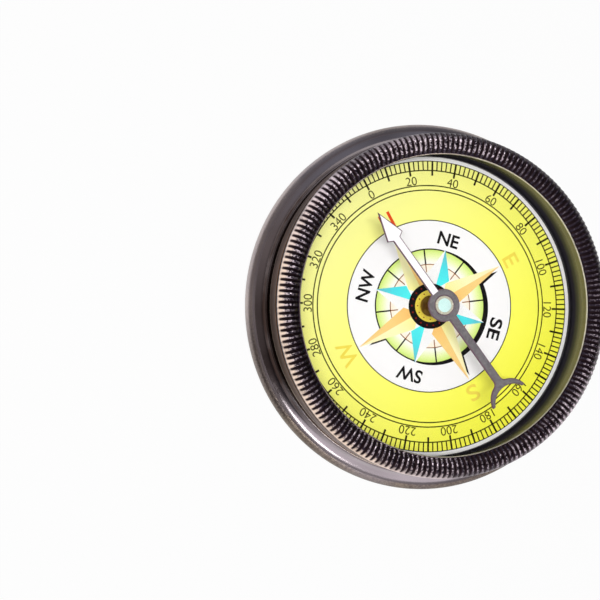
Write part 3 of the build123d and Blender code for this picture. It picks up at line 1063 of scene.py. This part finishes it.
view = {"eye": (-73.98, 35.59, 241.14), "aim": (-23.47, 14.24, 5), "upBearing": 28.93, "lens": 72.3,
        "nearest": 5}
lampAim = 8  # mm over the floor
lamps = {
    # place in the picture in mm, size in m, power, and the metal that a card is set up for
    "keyLamp": ((-86, -4, 440), (0.05, 0.22), 1.25, None),
    "lowCard": ((-158, -390, 559), (0.21, 0.1), 0.55, "caseShell"),
    "sideCard": ((-340, 30, 208), (0.9, 0.46), 1.1, "bezelShell"),
    "sideHigh": ((-120, 32, 388), (0.5, 0.17), 0.09, "bezelShell"),
    "topCard": ((145, 358, 460), (0.23, 0.23), 1, "bezelShell"),
    "rightCard": ((414, -239, 146), (0.36, 0.2), 0.12, "bezelShell"),
}
ground = {"half": 3, "paint": (0.92, 0.92, 0.92), "rough": 0.9, "glow": 0.92}
room = {
    "ceiling": (0.045, 0.04, 0.045), "even": (0.24, 0.24, 0.24), "horizon": (0.03, 0.09),
    # soft lights of the room: bearing and height in the picture, full and last reach in degrees, colour
    "lights": {
        "leftWall": (140, 40, 48, 64, (0.21, 0.185, 0.18)),
        "backWall": (85, 25, 20, 50, (0.25, 0.26, 0.3)),
        "window": (276, 25, 34, 44, (1.15, 1.12, 1.17)),
    },
}


def pictureSide(right, up, height):
    # a place over the dial given by the picture's own right and up, in mm
    turn = math.radians(view["upBearing"])
    x = right * math.cos(turn) + up * math.sin(turn)
    y = -right * math.sin(turn) + up * math.cos(turn)
    return Vector((x, y, height)) * mm


def makeFloor():
    half = ground["half"]
    corners = [(-half, -half, 0), (half, -half, 0), (half, half, 0), (-half, half, 0)]
    floor = meshPiece("floor", corners, [(0, 1, 2, 3)])
    finish, shader = newFinish("paleFloor")
    setInputs(shader, {"Base Color": (*ground["paint"], 1), "Roughness": ground["rough"]})
    # looks white to the camera and in metal and glass
    glow = addNode(finish, "ShaderNodeEmission").outputs[0]
    path = addNode(finish, "ShaderNodeLightPath")
    seen = mathOf(finish, "MAXIMUM", path.outputs["Is Camera Ray"], path.outputs["Is Glossy Ray"])
    seen = mathOf(finish, "MAXIMUM", seen, path.outputs["Is Transmission Ray"])
    mixShader(finish, mathOf(finish, "MULTIPLY", seen, ground["glow"]), shader.outputs[0], glow)
    floor.data.materials.append(finish)


def makeWorld():
    # even light for matt surfaces; metal sees a dim room with a bright window in front
    world = bpy.data.worlds.new("studio")
    world.use_nodes = True
    scene.world = world
    heading = addNode(world, "ShaderNodeTexCoord").outputs["Generated"]
    seen = (*room["ceiling"], 1)
    for bearing, height, full, last, colour in room["lights"].values():
        side, rise = math.radians(bearing), math.radians(height)
        middle = pictureSide(math.cos(side), math.sin(side), math.tan(rise)).normalized()
        edges = (math.cos(math.radians(reach)) for reach in (last, full))
        seen = mixOf(world, maskOf(world, towards(world, heading, middle), *edges), seen, (*colour, 1))
    lowest, highest = room["horizon"]
    low = rampOf(world, heightOf(world, heading), [(lowest, white), (highest, black)])
    seen = mixOf(world, low, seen, white)
    path = addNode(world, "ShaderNodeLightPath")
    seen = mixOf(world, path.outputs["Is Camera Ray"], seen, white)
    seen = mixOf(world, path.outputs["Is Diffuse Ray"], seen, (*room["even"], 1))
    # what lies under the glass gets white light through it
    underGlass = mathOf(world, "MULTIPLY", path.outputs["Is Transmission Ray"], path.outputs["Diffuse Depth"])
    seen = mixOf(world, underGlass, seen, white)
    feed(seen, world.node_tree.nodes["Background"].inputs["Color"])


def makeLamp(name):
    place, size, power, metal = lamps[name]
    lamp = bpy.data.lights.new(name, "AREA")
    lamp.shape = "RECTANGLE"
    lamp.size, lamp.size_y = size
    lamp.energy = power
    holder = addObject(name, lamp)
    holder.location = pictureSide(*place)
    aim = Vector((0, 0, lampAim * mm)) - holder.location
    holder.rotation_euler = aim.to_track_quat("-Z", "Y").to_euler()
    holder.visible_diffuse = not metal
    holder.visible_glossy = bool(metal)
    holder.visible_transmission = False
    if metal:
        lit = bpy.data.collections.new(name)
        lit.objects.link(bpy.data.objects[metal])
        holder.light_linking.receiver_collection = lit


def makeCamera():
    camera = bpy.data.cameras.new("photoView")
    camera.lens = view["lens"]
    camera.clip_start = view["nearest"] * mm
    eye = Vector(view["eye"]) * mm
    back = (eye - Vector(view["aim"]) * mm).normalized()
    turn = math.radians(view["upBearing"])
    right = Vector((math.sin(turn), math.cos(turn), 0)).cross(back).normalized()
    axes = Matrix((right, back.cross(right), back)).transposed()
    holder = addObject("photoView", camera)
    holder.matrix_world = Matrix.Translation(eye) @ axes.to_4x4()
    scene.camera = holder


makeFloor()
makeWorld()
for lampName in lamps:
    makeLamp(lampName)
makeCamera()
print("stage set")
